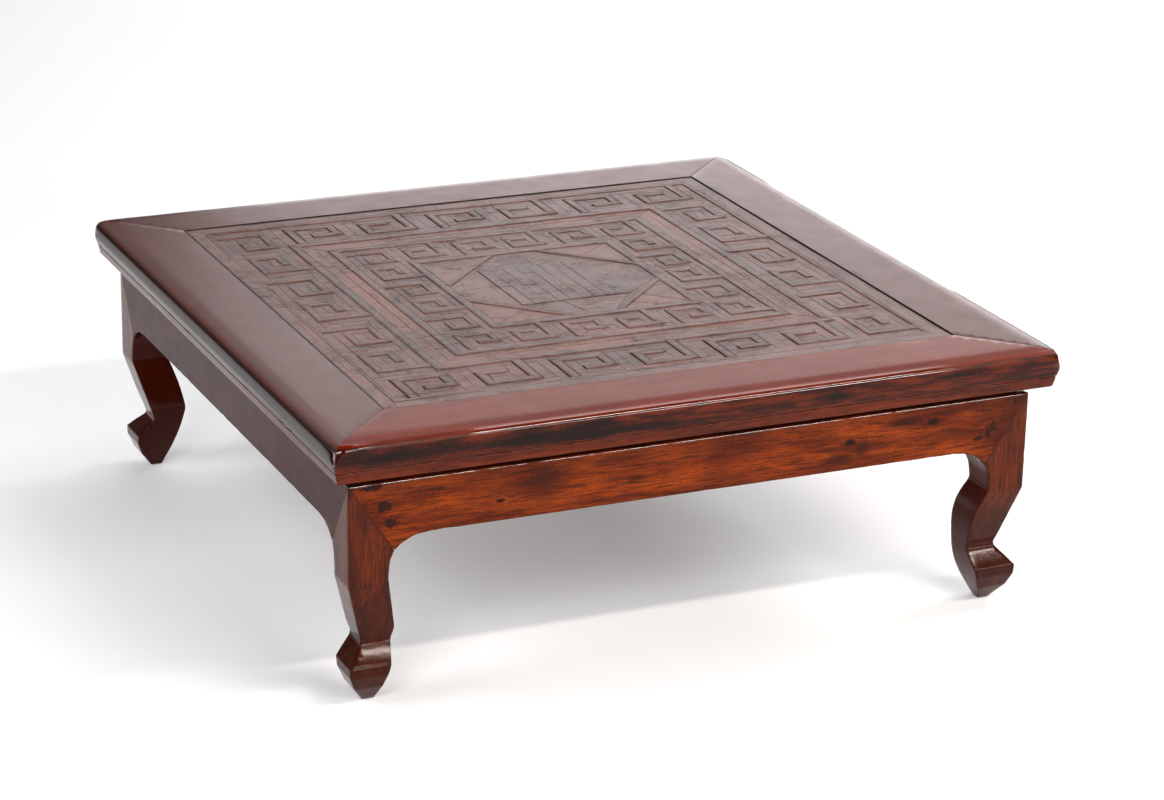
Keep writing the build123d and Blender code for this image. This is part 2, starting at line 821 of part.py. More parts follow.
# The centre: a square whose corners are cut off by diagonal strips, with slats in its middle.
centre_x = centre.half_x - inlay_gap / 2
centre_y = centre.half_y - inlay_gap / 2
corner_cut = corner_cut_share * min(centre.half_x, centre.half_y)
diagonal_run = diagonal_width * sqrt(2)
gap_run = inlay_gap * sqrt(2)
slat_half_x = slat_field_share * centre.half_x
slat_half_y = slat_field_share * centre.half_y


def cut_corner_piece(near, far):
    """The four pieces between two diagonals that cut the centre's corners this far along."""
    with BuildSketch(Plane.XY.offset(board_top)) as pieces:
        for across, forward in corners.values():
            with BuildLine():
                Polyline(
                    (across * (centre_x - near), forward * centre_y),
                    (across * (centre_x - far), forward * centre_y),
                    (across * centre_x, forward * (centre_y - far)),
                    (across * centre_x, forward * (centre_y - near)),
                    close=True,
                )
            make_face()
    return pieces.sketch


def corner_triangles():
    with BuildSketch(Plane.XY.offset(board_top)) as triangles:
        for across, forward in corners.values():
            with BuildLine():
                Polyline(
                    (across * centre_x, forward * centre_y),
                    (across * (centre_x - corner_cut), forward * centre_y),
                    (across * centre_x, forward * (centre_y - corner_cut)),
                    close=True,
                )
            make_face()
    return triangles.sketch


with BuildPart() as medallion_corners:
    extrude(corner_triangles(), amount=ground_top - board_top)
write(medallion_corners.part, "medallion_corners")

with BuildPart() as medallion_diagonals:
    extrude(cut_corner_piece(corner_cut + gap_run, corner_cut + diagonal_run), amount=inlay_top - board_top)
write(medallion_diagonals.part, "medallion_diagonals")

octagon_run = corner_cut + diagonal_run + gap_run
with BuildPart() as medallion_ground:
    with BuildSketch(Plane.XY.offset(board_top)):
        with BuildLine():
            Polyline(
                (centre_x, octagon_run - centre_y),
                (centre_x, centre_y - octagon_run),
                (centre_x - octagon_run, centre_y),
                (octagon_run - centre_x, centre_y),
                (-centre_x, centre_y - octagon_run),
                (-centre_x, octagon_run - centre_y),
                (octagon_run - centre_x, -centre_y),
                (centre_x - octagon_run, -centre_y),
                close=True,
            )
        make_face()
        Rectangle(2 * slat_half_x, 2 * slat_half_y, mode=Mode.SUBTRACT)
    extrude(amount=ground_top - board_top)
write(medallion_ground.part, "medallion_ground")

with BuildPart() as medallion_slats:
    with BuildSketch(Plane.XY.offset(board_top)):
        with GridLocations(2 * slat_half_x / slat_count, 1, slat_count, 1):
            Rectangle(2 * slat_half_x / slat_count - inlay_gap, 2 * slat_half_y - inlay_gap)
    extrude(amount=inlay_top - board_top)
write(medallion_slats.part, "medallion_slats")
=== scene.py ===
"""The looks of a low square kang table in red-brown lacquer, with a fret parquetry top.

Metres, +Z up, the origin on the floor under the middle of the table. Front is -Y, left is -X.
"""
import math
import random

import bmesh
import bpy
from mathutils import Matrix, Vector, kdtree, noise


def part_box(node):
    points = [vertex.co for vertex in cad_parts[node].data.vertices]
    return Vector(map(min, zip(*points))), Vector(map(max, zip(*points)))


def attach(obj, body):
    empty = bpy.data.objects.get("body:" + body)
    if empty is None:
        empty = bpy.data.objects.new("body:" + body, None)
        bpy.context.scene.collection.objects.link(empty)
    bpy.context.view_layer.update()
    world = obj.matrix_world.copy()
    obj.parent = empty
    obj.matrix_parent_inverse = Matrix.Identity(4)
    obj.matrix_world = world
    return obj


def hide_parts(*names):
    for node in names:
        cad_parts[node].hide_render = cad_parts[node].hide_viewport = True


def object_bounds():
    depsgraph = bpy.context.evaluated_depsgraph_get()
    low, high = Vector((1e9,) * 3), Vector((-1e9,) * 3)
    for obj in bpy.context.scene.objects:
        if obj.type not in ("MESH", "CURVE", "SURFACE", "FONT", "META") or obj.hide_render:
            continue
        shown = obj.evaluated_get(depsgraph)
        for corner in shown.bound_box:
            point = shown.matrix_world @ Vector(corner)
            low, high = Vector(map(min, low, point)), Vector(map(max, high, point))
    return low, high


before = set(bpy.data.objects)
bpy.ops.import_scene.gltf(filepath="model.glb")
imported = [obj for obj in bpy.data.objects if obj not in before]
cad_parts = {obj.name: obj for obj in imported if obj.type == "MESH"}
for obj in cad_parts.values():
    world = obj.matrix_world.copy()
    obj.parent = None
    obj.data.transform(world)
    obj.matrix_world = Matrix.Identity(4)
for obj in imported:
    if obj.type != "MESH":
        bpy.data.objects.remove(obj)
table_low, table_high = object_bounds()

# ---- Sizes of the joinery that the looks follow --------------

half = table_high.x
top = table_high.z
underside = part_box("top_frame_front")[0].z
opening = -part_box("top_frame_front")[1].y
apron_face = -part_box("apron_front")[0].y
apron_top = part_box("apron_front")[1].z
bracket_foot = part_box("apron_front")[0].z
apron_bottom = 0.189
calf_height = 0.079
toe_top = 0.08
hollow_height = apron_bottom - 0.047
mitre_reach = 0.051
board_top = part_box("plain_band")[0].z
ground_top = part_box("plain_band")[1].z
inlay_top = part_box("outer_fret_line")[1].z

# Heights on the frame's edge, from the top down, and on the toe.
side_starts = top - 0.0035
side_is_full = top - 0.0055
arris_height = top - 0.0052
upper_band = top - 0.022
quirk_height = top - 0.032
lower_band = top - 0.0345
toe_hollow = 0.056

# ---- Parquetry layout ----------------------------------------

# Strips are all one width. These count them, from the frame inwards.
border_strips = 1.9
outer_fret_strips = 6.0
line_strips = 1.0
plain_band_strips = 2.0
inner_fret_strips = 5.0
centre_half_strips = 9.7
fret_strips = outer_fret_strips + inner_fret_strips
strips_across = border_strips + fret_strips + 3 * line_strips + plain_band_strips + centre_half_strips
panel_half = 0.3361
strip_width = panel_half / strips_across

# A key's length along its band in strips, and how many cells it has each way.
outer_key_strips = 7.6
inner_key_strips = 5.3
cells = 7

string_width = 0.0019
border_line = 0.0062
border_string = 0.0022
diagonal_width = 0.008
diagonal_string = 0.0016
slat_count = 9
joint = 0.00012


# ---- Finishes ------------------------------------------------

class Channel:
    """A value in a finish. Sums and products of channels add the nodes that work them out."""

    def __init__(self, finish, socket):
        self.finish = finish
        self.socket = socket

    def maths(self, operation, *values):
        numbered = dict(enumerate(values))
        return self.finish.node("ShaderNodeMath", {"operation": operation}, numbered)

    def __add__(self, other):
        return self.maths("ADD", self, other)

    def __radd__(self, other):
        return self.maths("ADD", other, self)

    def __sub__(self, other):
        return self.maths("SUBTRACT", self, other)

    def __rsub__(self, other):
        return self.maths("SUBTRACT", other, self)

    def __mul__(self, other):
        return self.maths("MULTIPLY", self, other)

    def __rmul__(self, other):
        return self.maths("MULTIPLY", other, self)

    def __abs__(self):
        return self.maths("ABSOLUTE", self)

    def sine(self):
        return self.maths("SINE", self)

    def root(self):
        return self.maths("SQRT", self)

    def larger(self, other):
        return self.maths("MAXIMUM", self, other)


class Finish:
    """One procedural finish. Every node of it comes from node()."""

    def __init__(self, name):
        self.material = bpy.data.materials.new(name)
        self.material.use_nodes = True
        self.tree = self.material.node_tree
        self.tree.nodes.clear()

    def node(self, kind, settings=None, values=None, output=0):
        made = self.tree.nodes.new(kind)
        for name, value in (settings or {}).items():
            setattr(made, name, value)
        for key, value in (values or {}).items():
            if isinstance(value, Channel):
                self.tree.links.new(value.socket, made.inputs[key])
            else:
                made.inputs[key].default_value = value
        return Channel(self, made.outputs[output]) if made.outputs else None

    def parts(self, vector):
        """The three numbers of a vector."""
        first = self.node("ShaderNodeSeparateXYZ", values={0: vector})
        return [Channel(self, output) for output in first.socket.node.outputs]

    def place(self, along="x"):
        """Object coordinates as (along the grain, and the two ways across it)."""
        x, y, z = self.parts(self.node("ShaderNodeTexCoord", output="Object"))
        return {"x": (x, y, z), "y": (y, x, z), "z": (z, x, y)}[along]

    def attribute(self, name, output="Fac"):
        return self.node("ShaderNodeAttribute", {"attribute_name": name}, output=output)

    def vector(self, x, y, z):
        return self.node("ShaderNodeCombineXYZ", values={0: x, 1: y, 2: z})

    def noise(self, vector, scale, detail=2.0, roughness=0.5):
        values = {"Vector": vector, "Scale": scale, "Detail": detail, "Roughness": roughness}
        return self.node("ShaderNodeTexNoise", values=values)

    def streaked(self, place, share, scale, detail=2.0, roughness=0.5):
        """Noise drawn out along the grain, to one share of its fineness across it."""
        length, across, through = place
        return self.noise(self.vector(length * share, across, through), scale, detail, roughness)

    def step(self, value, low, high):
        """0 below low and 1 above high, with a soft change between. It falls where low is above high."""
        values = {"Value": value, "From Min": low, "From Max": high}
        return self.node("ShaderNodeMapRange", {"interpolation_type": "SMOOTHSTEP"}, values)

    def band(self, value, middle, outer, inner):
        """1 within the inner reach of the middle, and 0 past the outer reach."""
        return self.step(abs(value - middle), outer, inner)

    def mix(self, share, one, other, blend="MIX"):
        settings = {"data_type": "RGBA", "blend_type": blend, "clamp_factor": True}
        return self.node("ShaderNodeMix", settings, {0: share, 6: one, 7: other}, 2)

    def darkened(self, share, one, tint):
        """A colour with a share of it multiplied by the tint."""
        return self.mix(share, one, self.mix(1.0, one, tint, "MULTIPLY"))

    def bump(self, height, distance, strength=1.0, under=None):
        values = {"Height": height, "Distance": distance, "Strength": strength}
        if under is not None:
            values["Normal"] = under
        return self.node("ShaderNodeBump", values=values)

    def shade(self, **values):
        """Ends the finish with its shader, and returns the material."""
        named = {name.replace("_", " "): value for name, value in values.items()}
        shader = self.node("ShaderNodeBsdfPrincipled", values=named)
        self.node("ShaderNodeOutputMaterial", values={"Surface": shader})
        return self.material


def colour(red, green, blue):
    """A colour as it is seen on a screen, from 0 to 255, as the shader's own numbers."""

    def linear(value):
        share = value / 255
        return share / 12.92 if share <= 0.04045 else ((share + 0.055) / 1.055) ** 2.4

    return (linear(red), linear(green), linear(blue), 1.0)


def figured_wood(finish, along, pale, middle, dark, knots=()):
    """Lacquered hardwood: colour, and how deep its fibres lie, as two channels."""
    length, across, through = finish.place(along)
    knot_roundness = 0.55
    grain_pull = 0.55
    core = None
    for knot_length, knot_height, size in knots:
        run = (length - knot_length) * (knot_roundness / size)
        rise = (through - knot_height) * (1 / size)
        reach = (run * run + rise * rise).root()
        through = through - rise * finish.step(reach, 2.6, 0.3) * (grain_pull * size)
        ragged = finish.streaked((length, across, through), 0.3, 420.0, 3.0) - 0.5
        spot = finish.step(reach + ragged * 1.1, 0.95, 0.4)
        core = spot if core is None else core.larger(spot)
    place = (length, across, through)
    clouds = finish.streaked(place, 0.16, 55.0, 4.0, 0.6)
    wander = finish.streaked(place, 0.3, 7.0) - 0.5
    rings = ((across + through * 0.7 + wander * 0.06) * 380.0 + clouds * 6.0).sine()
    streaks = finish.streaked(place, 0.055, 330.0, 4.0, 0.6)
    grain = finish.streaked(place, 0.05, 620.0, 2.0, 0.6)
    fibres = finish.streaked(place, 0.055, 1100.0, 3.0, 0.7)
    dashes = finish.streaked(place, 0.09, 620.0, 1.0)
    pores = finish.streaked(place, 0.3, 850.0, 1.0)
    wood = finish.mix(finish.step(clouds, 0.36, 0.64), middle, pale)
    wood = finish.mix(finish.step(rings, 0.0, 1.0) * finish.step(clouds, 0.6, 0.4) * 0.2, wood, dark)
    for lines, low, high, share in (
        (streaks, 0.48, 0.68, 0.5),
        (grain, 0.5, 0.64, 0.6),
        (fibres, 0.45, 0.75, 0.3),
        (dashes, 0.66, 0.76, 0.6),
        (pores, 0.55, 0.68, 0.4),
    ):
        wood = finish.mix(finish.step(lines, low, high) * share, wood, dark)
    if core is not None:
        wood = finish.mix(core * 0.85, wood, tuple(0.4 * value for value in dark[:3]) + (1.0,))
    return wood, fibres * 0.6 + streaks * 0.4


def rubbed_rim(finish, slow, scale, ragged, far, near):
    """1 at an arris and 0 away from it, with a ragged limit. The piece's points hold the distance."""
    distance = finish.attribute("arris") + finish.noise(slow, scale, 3.0) * ragged
    return finish.step(distance, far, near)


def stains(finish, length, height, marks, softness, raggedness):
    """Where a few placed marks lie. Each is (length, height, half its length, half its height)."""
    ragged = (finish.noise(finish.vector(length, height, 0.0), 210.0, 3.0, 0.6) - 0.5) * raggedness
    found = None
    for mark_length, mark_height, half_length, half_height in marks:
        run = (length - mark_length) * (1 / half_length)
        rise = (height - mark_height) * (1 / half_height)
        mark = finish.step((run * run + rise * rise).root() + ragged, 1 + softness, 1 - softness)
        found = mark if found is None else found.larger(mark)
    return found


def frame_lacquer(name, along, woods, edge, shine, smooth, marks=(), polish=(), tilt=0.0):
    """The top frame: an even worn top, darker edges with near-black patches, and a polished arris.

    The edge is smoother than the top by smooth. Its arris is polished along the runs in polish, and
    tilt bends the light on its upper band.
    """
    finish = Finish(name)
    pale, middle, dark = woods
    wood, depth = figured_wood(finish, along, pale, middle, dark)
    length, across, height = finish.place(along)
    slow = finish.vector(length * 0.3, across, height)
    blotches = finish.noise(slow, 30.0, 4.0, 0.65)
    side = finish.step(height, side_starts, side_is_full)
    wood = finish.mix((1 - side) * 0.45, wood, middle)
    gleams = finish.streaked((length, across, height), 0.12, 170.0, 4.0, 0.6)
    shaded = finish.mix(finish.step(gleams, 0.4, 0.6), colour(36, 13, 8), edge)
    wood = finish.mix(side * 0.85, wood, shaded)
    hollow = finish.band(height, lower_band, 0.005, 0.002) * finish.step(blotches, 0.6, 0.4)
    wood = finish.mix(hollow * 0.7, wood, colour(24, 9, 6))
    patch = finish.step(blotches, 0.46, 0.64) * side
    wood = finish.mix(patch * 0.8, wood, colour(22, 9, 7))
    if marks:
        burnt = stains(finish, length, height, marks, 0.6, 1.6) * side
        wood = finish.mix(burnt * 0.85, wood, colour(20, 9, 7))
    wood = finish.mix(finish.band(height, quirk_height, 0.0013, 0.0005) * 0.85, wood, colour(12, 5, 4))
    rubbed = rubbed_rim(finish, slow, 220.0, 0.004, 0.0046, 0.0018)
    wood = finish.mix(rubbed * side * 0.4, wood, colour(118, 46, 14))
    x, y, z = finish.place()
    seam = finish.step(abs(abs(x) - abs(y)) + finish.noise(slow, 90.0, 3.0) * 0.0006, 0.0011, 0.0004)
    wood = finish.mix(seam * 0.75, wood, colour(34, 12, 8))
    mouth = abs(x).larger(abs(y)) + (finish.noise(slow, 60.0, 3.0) - 0.5) * 0.001
    rim = finish.step(mouth, opening + 0.0019, opening + 0.0008)
    behind_front = finish.step(y, -opening - 0.002, 0.006 - opening)
    wood = finish.mix(rim * (0.25 + 0.6 * behind_front), wood, colour(22, 9, 6))
    worn = finish.noise(finish.vector(x, y, z), 34.0, 3.0, 0.6)
    gloss = 0.27 + worn * 0.12 - side * smooth + rim * 0.3
    arris = finish.band(height, arris_height, 0.0034, 0.0022)
    polished = side * 0.0
    for start, end in polish:
        run = finish.step(length, start, start + 0.02) * finish.step(length, end, end - 0.05)
        polished = polished.larger(run)
    tilted = finish.bump((height - upper_band).larger(0.0) * tilt, 1.0)
    return finish.shade(
        Base_Color=wood,
        Roughness=(gloss + arris * (0.3 - polished * 0.6)).larger(0.06),
        IOR=shine,
        Coat_Weight=arris * polished * 0.7,
        Coat_IOR=1.65,
        Coat_Roughness=0.07,
        Normal=finish.bump(depth, 0.00004, 0.6, finish.bump(worn, 0.0006, 0.25, tilted)),
    )


def apron_lacquer(name, along, woods, shine, knots, flakes, smoke):
    """The aprons: knots, dark flakes and smoky stains, filled flaws near the ends, a bright top arris."""
    finish = Finish(name)
    wood, depth = figured_wood(finish, along, *woods, knots)
    length, across, height = finish.place(along)
    slow = finish.vector(length * 0.5, across, height)
    ends = finish.step(abs(length), half - 0.075, half - 0.035)
    spots = finish.step(finish.noise(slow, 90.0, 3.0, 0.55), 0.6, 0.65) * (ends * 0.8)
    wood = finish.mix(spots, wood, colour(42, 14, 8))
    wood = finish.mix(stains(finish, length, height, flakes, 0.12, 2.6) * 0.85, wood, colour(34, 14, 9))
    wood = finish.mix(stains(finish, length, height, smoke, 0.75, 1.4) * 0.75, wood, colour(44, 14, 7))
    dull = finish.step(finish.noise(slow, 13.0), 0.5, 0.75)
    wood = finish.mix(dull * 0.4, wood, colour(64, 19, 8))
    rim = rubbed_rim(finish, slow, 200.0, 0.003, 0.0038, 0.001)
    wood = finish.mix(rim * 0.6, wood, colour(44, 13, 5))
    seam_slope = mitre_reach / (apron_top - bracket_foot)
    seam_run = abs(length) - apron_face + (apron_top - height) * seam_slope
    seam = finish.step(abs(seam_run) + finish.noise(slow, 120.0, 3.0) * 0.0012, 0.0017, 0.0006)
    wood = finish.mix(seam * 0.35, wood, colour(30, 10, 6))
    worn = finish.noise(finish.vector(length, across, height), 30.0, 3.0, 0.6)
    arris = finish.step(height, apron_top - 0.0036, apron_top - 0.0018)
    broken = finish.step(finish.noise(slow, 50.0, 3.0, 0.6), 0.36, 0.44)
    return finish.shade(
        Base_Color=wood,
        Roughness=0.2 + worn * 0.14 - rim * 0.12,
        IOR=shine,
        Coat_Weight=arris * broken,
        Coat_IOR=1.8,
        Coat_Roughness=0.06,
        Normal=finish.bump(depth, 0.00004, 0.6, finish.bump(worn, 0.0008, 0.3)),
    )


def leg_lacquer(name):
    """The legs: upright grain, painted shade on the inner faces, darker feet, and toes that are hollow on
    top.
    """
    finish = Finish(name)
    wood, depth = figured_wood(finish, "z", colour(98, 38, 7), colour(72, 25, 5), colour(28, 10, 4))
    height, x, y = finish.place("z")
    slow = finish.vector(height * 0.6, x, y)
    low = finish.step(height + finish.noise(slow, 30.0, 3.0) * 0.06, 0.17, 0.11)
    wood = finish.mix(low * 0.6, wood, colour(46, 14, 6))
    # Painted shade: the faces turned to the middle of the table are darkened, for the shade under the table.
    wood = finish.mix(finish.attribute("inner_shade") * 0.75, wood, colour(66, 20, 8))
    rim = rubbed_rim(finish, slow, 200.0, 0.004, 0.0045, 0.0015)
    wood = finish.mix(rim * 0.45, wood, colour(36, 10, 5))
    worn = finish.noise(finish.vector(height, x, y), 34.0, 3.0, 0.6)
    rise = height - toe_hollow
    hollow = finish.bump(rise * rise * 6.0 * finish.attribute("ledge"), 1.0)
    return finish.shade(
        Base_Color=wood,
        Roughness=0.11 + worn * 0.1 - rim * 0.05,
        IOR=1.29,
        Sheen_Weight=0.16,
        Sheen_Roughness=0.4,
        Normal=finish.bump(depth, 0.00005, 0.6, finish.bump(worn, 0.0009, 0.3, hollow)),
    )


def plain_wood(name, along, pale, dark, roughness):
    """Wood that shows little: the waist, whose near-black colours are painted shade, the boards under the
    parquetry, the braces and the pins.
    """
    finish = Finish(name)
    middle = tuple((one + other) / 2 for one, other in zip(pale, dark))
    wood, depth = figured_wood(finish, along, pale, middle, dark)
    length, across, through = finish.place(along)
    dust = finish.noise(finish.vector(length, across, through), 60.0, 4.0, 0.6)
    wood = finish.mix(finish.step(dust, 0.5, 0.75) * 0.3, wood, dark)
    return finish.shade(
        Base_Color=wood,
        Roughness=roughness + dust * 0.15,
        Normal=finish.bump(depth, 0.00012, 0.8),
    )


def parquetry_wood(name):
    """Small pieces with a colour and a grain each, joints and the sides of raised pieces darkened with
    painted shade, rubbed rims, splits and torn grain.
    """
    finish = Finish(name)
    run, width = finish.parts(finish.node("ShaderNodeUVMap", {"uv_map": "grain"}))[:2]
    own = finish.attribute("piece", "Color")
    rim = finish.attribute("piece", "Alpha")
    strip_place = (run, width, 0.0)
    streaks = finish.streaked(strip_place, 0.06, 320.0, 4.0, 0.65)
    fibres = finish.streaked(strip_place, 0.06, 1400.0, 2.0, 0.7)
    clouds = finish.streaked(strip_place, 0.3, 40.0, 3.0, 0.6)
    wood = finish.darkened(finish.step(streaks, 0.42, 0.7) * 0.45, own, colour(96, 84, 78))
    wood = finish.darkened(finish.step(fibres, 0.5, 0.72) * 0.3, wood, colour(110, 96, 90))
    wood = finish.mix(finish.step(clouds, 0.45, 0.7) * 0.25, wood, colour(96, 50, 36))
    x, y, z = finish.place()
    table_place = finish.vector(x, y, z)
    rubbed = rim * finish.step(finish.noise(table_place, 260.0, 3.0), 0.42, 0.62)
    wood = finish.mix(rubbed * 0.3, wood, colour(150, 100, 70))
    depth = z + finish.noise(table_place, 300.0) * 0.0004
    # Painted shade: below the face of the ground pieces, in the joints and down the sides of the raised
    # strips, the wood is darkened.
    groove_shade = finish.step(depth, ground_top - 0.0004, ground_top - 0.0013)
    wood = finish.mix(groove_shade * 0.55, wood, colour(30, 15, 11))
    haze = finish.step(finish.noise(table_place, 7.0, 3.0, 0.6), 0.35, 0.7)
    wood = finish.mix(haze * 0.16, wood, colour(126, 92, 88))
    split = finish.streaked(strip_place, 0.12, 150.0, 3.0, 0.7)
    cracked = finish.step(finish.noise(table_place, 24.0), 0.5, 0.6)
    crack = finish.band(split, 0.5, 0.012, 0.004) * cracked
    wood = finish.mix(crack * 0.75, wood, colour(30, 15, 12))
    torn = finish.streaked((x, y, 0.0), 0.14, 130.0, 4.0, 0.7)
    rough = finish.step(finish.noise(table_place, 17.0), 0.46, 0.56)
    tear = finish.band(torn, 0.5, 0.016, 0.005) * rough
    wood = finish.mix(tear * 0.6, wood, colour(28, 14, 11))
    shrunk = abs(x).larger(abs(y)) + (finish.noise(table_place, 40.0, 3.0) - 0.5) * 0.002
    behind_front = finish.step(y, -panel_half + 0.003, 0.01 - panel_half)
    gap = finish.step(shrunk, panel_half - 0.0026, panel_half - 0.0014) * behind_front
    wood = finish.mix(gap * 0.9, wood, colour(16, 7, 5))
    return finish.shade(
        Base_Color=wood,
        Roughness=0.31 + streaks * 0.16 + crack.larger(tear) * 0.2,
        IOR=1.44,
        Normal=finish.bump(fibres + streaks - tear * 2, 0.0002, 0.9, finish.bump(clouds + torn, 0.0006, 0.4)),
    )


# Knots, as (along the apron, height, size). Flakes, smoke and marks, as (along, height, half length,
# half height).
front_knots = ((-0.2325, 0.2114, 0.004), (0.281, 0.2316, 0.006), (0.178, 0.2207, 0.005))
front_flakes = (
    (-0.374, 0.245, 0.011, 0.003),
    (-0.361, 0.223, 0.008, 0.006),
    (-0.354, 0.204, 0.008, 0.005),
    (0.357, 0.217, 0.005, 0.005),
    (0.350, 0.209, 0.004, 0.005),
    (0.338, 0.204, 0.006, 0.003),
)
front_smoke = (
    # The first, wide mark darkens the front apron's right end as a whole.
    (0.39, 0.215, 0.045, 0.045),
    (-0.182, 0.229, 0.022, 0.013),
    (0.247, 0.235, 0.024, 0.004),
    (0.193, 0.212, 0.008, 0.009),
    (0.166, 0.202, 0.018, 0.005),
)
side_knots = ((-0.18, 0.214, 0.005), (0.24, 0.23, 0.006))
side_flakes = ((0.352, 0.219, 0.007, 0.005), (-0.349, 0.236, 0.006, 0.004))
side_smoke = ((0.06, 0.226, 0.03, 0.012), (-0.262, 0.21, 0.024, 0.008))
front_edge_marks = (
    (-0.35, 0.286, 0.075, 0.0085),
    (-0.20, 0.284, 0.065, 0.0075),
    (-0.08, 0.282, 0.045, 0.005),
    (0.147, 0.286, 0.011, 0.007),
    (0.29, 0.291, 0.03, 0.003),
)

# Woods, as (pale, middle, dark).
dull_red = (colour(84, 27, 16), colour(70, 21, 12), colour(48, 14, 9))
warm_red = (colour(116, 39, 15), colour(96, 29, 11), colour(62, 19, 9))
orange_red = (colour(134, 57, 9), colour(96, 35, 5), colour(34, 12, 4))
# Painted shade: a darker, duller red for the side aprons.
grey_red_shade = (colour(70, 23, 13), colour(56, 18, 10), colour(36, 12, 8))
brown_edge = colour(86, 32, 9)
# Painted shade: a near-black edge colour for the left member, the side that the lamps leave dark.
left_shade_edge = colour(30, 12, 9)

frame_finishes = {
    "front": frame_lacquer(
        "frame_lacquer_front", "x", warm_red, brown_edge, 1.32, 0.2,
        marks=front_edge_marks, polish=((-0.43, -0.37), (-0.28, 0.3)),
    ),
    "right": frame_lacquer(
        "frame_lacquer_right", "y", dull_red, brown_edge, 1.42, 0.15, polish=((-0.2, 0.3),),
    ),
    "back": frame_lacquer(
        "frame_lacquer_back", "x", dull_red, brown_edge, 1.42, 0.15, polish=((-0.3, 0.2),),
    ),
    # The left member's edge takes the near-black painted shade.
    "left": frame_lacquer("frame_lacquer_left_shaded", "y", dull_red, left_shade_edge, 1.58, 0.12, tilt=-0.3),
}
side_flaws = (side_knots, side_flakes, side_smoke)
front_flaws = (front_knots, front_flakes, front_smoke)
# Painted shade: the left and right aprons take a darker copy of the apron lacquer, for the dim sides of the
# table.
side_shade_finish = apron_lacquer("apron_lacquer_side_shaded", "y", grey_red_shade, 1.24, *side_flaws)
apron_finishes = {
    "front": apron_lacquer("apron_lacquer_front", "x", orange_red, 1.26, *front_flaws),
    "right": side_shade_finish,
    "back": apron_lacquer("apron_lacquer_back", "x", orange_red, 1.26, *side_flaws),
    "left": side_shade_finish,
}
leg_finish = leg_lacquer("leg_lacquer")
# Painted shade: the waist takes near-black wood, for the shade in its recess under the frame.
waist_shade_finish = plain_wood("waist_painted_shade", "x", colour(52, 22, 14), colour(20, 8, 6), 0.35)
board_finish = plain_wood("panel_softwood", "x", colour(122, 88, 62), colour(70, 46, 32), 0.6)
brace_finish = plain_wood("brace_wood", "y", colour(110, 70, 46), colour(62, 36, 24), 0.55)
pin_finish = plain_wood("pin_wood", "z", colour(150, 108, 70), colour(96, 62, 38), 0.55)
inlay_finish = parquetry_wood("parquetry_wood")


# ---- Worn copies of the solid joinery ------------------------

merge_distance = 0.00001
cut_distance = 0.00002
flat_angle = math.radians(0.5)
arris_angle = 0.5
smooth_angle = math.radians(34)
support = 0.0022        # a cut beside the opening keeps its rim's shading off the wide faces
mark_spacing = 0.002
wave_scale = 24
wave_depth = 0.00022
nick_scale = 70
nick_shift = Vector((9, 4, 7))
nick_rareness = 0.28
nick_depth = 0.0016
nick_reach = 0.004
corner_reach = 0.026
corner_depth = 0.0034
corner_drop = 1.2
corner_height = 0.02
corner_rise = 0.016
swell_inset = 0.012
swell_run = 0.03
close = 0.0001
edge_depth = 0.0245
foot_depth = 0.01
longest_low_edge = 0.7
knee_height = 0.1


def shown(name, data):
    """An object in the scene, which holds a mesh, a lamp or a lens."""
    item = bpy.data.objects.new(name, data)
    bpy.context.scene.collection.objects.link(item)
    return item


def skinned(bm, name, finish):
    """An object made of a finished bmesh."""
    mesh = bpy.data.meshes.new(name)
    bm.to_mesh(mesh)
    bm.free()
    mesh.materials.append(finish)
    return shown(name, mesh)


def put(bm, name, nodes, finish):
    """Shows a finished bmesh in place of the named solids."""
    piece = skinned(bm, name, finish)
    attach(piece, "root")
    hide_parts(*nodes)


def held(value):
    """The value, held between 0 and 1."""
    return min(1.0, max(0.0, value))


def swell_calf(place, middle, over, under):
    """Moves a point of a leg's inner side inwards, by how far the hand-cut calf swells.

    The swell has a bow of its own over the whole height, and one above and one below the calf, which
    start gently at the calf so that the outline has no notch there.
    """
    if place.z >= hollow_height:
        return
    above = place.z > calf_height
    share = (place.z - calf_height) / (hollow_height - calf_height) if above else place.z / calf_height
    softness = 0.25
    full_rise = 0.78
    rise = math.hypot(math.sin(math.pi * share), softness) - softness
    bow = middle * math.sin(math.pi * place.z / hollow_height)
    swell = bow + (over if above else under) * rise / full_rise
    for axis in (0, 1):
        inset = apron_face - abs(place[axis])
        place[axis] -= math.copysign(swell * held((inset - swell_inset) / swell_run), place[axis])


def wear_corner(place):
    """Pulls in the outer corner of the frame, most on the top."""
    corner = max(0.0, (abs(place.x) + abs(place.y) - 2 * half + corner_reach) / corner_reach)
    pull = corner_depth * corner * corner * held((place.z - top + corner_height) / corner_rise)
    place -= Vector((math.copysign(pull, place.x), math.copysign(pull, place.y), pull * corner_drop))


def slice_across(bm, axis, level):
    """Cuts every face that crosses a plane, so that the skin has points there."""
    bmesh.ops.bisect_plane(
        bm,
        geom=bm.verts[:] + bm.edges[:] + bm.faces[:],
        plane_co=Vector([level if k == axis else 0 for k in range(3)]),
        plane_no=Vector([1 if k == axis else 0 for k in range(3)]),
        dist=cut_distance,
    )


def points_along(lines):
    """A search tree of points along straight lines."""
    points = []
    for one, other in lines:
        steps = max(1, math.ceil((other - one).length / mark_spacing))
        points += [one.lerp(other, index / steps) for index in range(steps + 1)]
    tree = kdtree.KDTree(len(points))
    for index, point in enumerate(points):
        tree.insert(point, index)
    tree.balance()
    return tree


def soften(bm, edges, width, segments):
    """Rounds edges over."""
    bmesh.ops.bevel(
        bm,
        geom=edges,
        offset=width,
        offset_type="OFFSET",
        segments=segments,
        profile=0.5,
        affect="EDGES",
        clamp_overlap=True,
        material=-1,
    )


